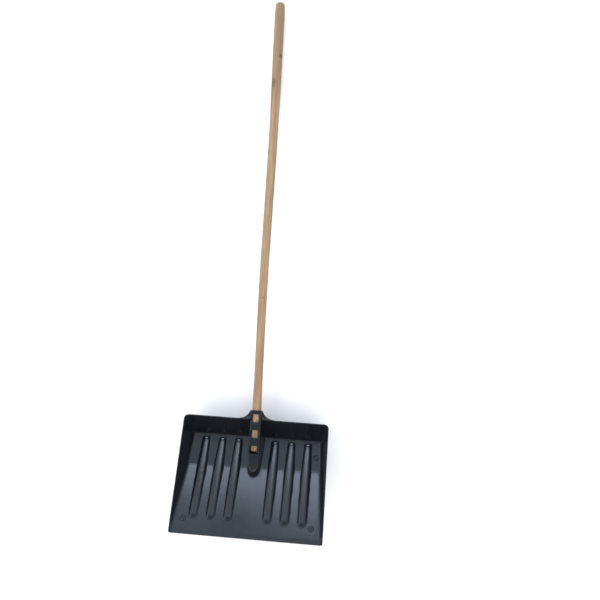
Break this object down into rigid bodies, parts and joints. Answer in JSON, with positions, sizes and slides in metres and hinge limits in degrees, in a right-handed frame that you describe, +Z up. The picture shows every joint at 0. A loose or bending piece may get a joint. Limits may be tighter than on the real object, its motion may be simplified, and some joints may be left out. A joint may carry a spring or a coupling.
{
  "type": "snow shovel",
  "caption": "Snow shovel: a moulded plastic scoop with raised ribs and a windowed socket, screwed to a straight round wooden handle.",
  "frame": {"origin": "on the ground under the middle of the bounding box, with the shovel lying on its back", "axes": "+X across the scoop, +Y towards the free end of the handle, +Z up out of the tray"},
  "size_m": [0.4036, 1.393, 0.179],
  "materials": {
    "scoop_plastic": "black-grey injection-moulded plastic, satin, slightly bluish",
    "handle_wood": "planed light hardwood, unvarnished, fine straight grain with a few small knots",
    "screw_steel": "bright zinc-plated steel"
  },
  "bodies": {
    "root": {"scoop": "scoop_plastic", "handle": "handle_wood", "upper_screw": "screw_steel", "lower_screw": "screw_steel"}
  },
  "joints": []
}
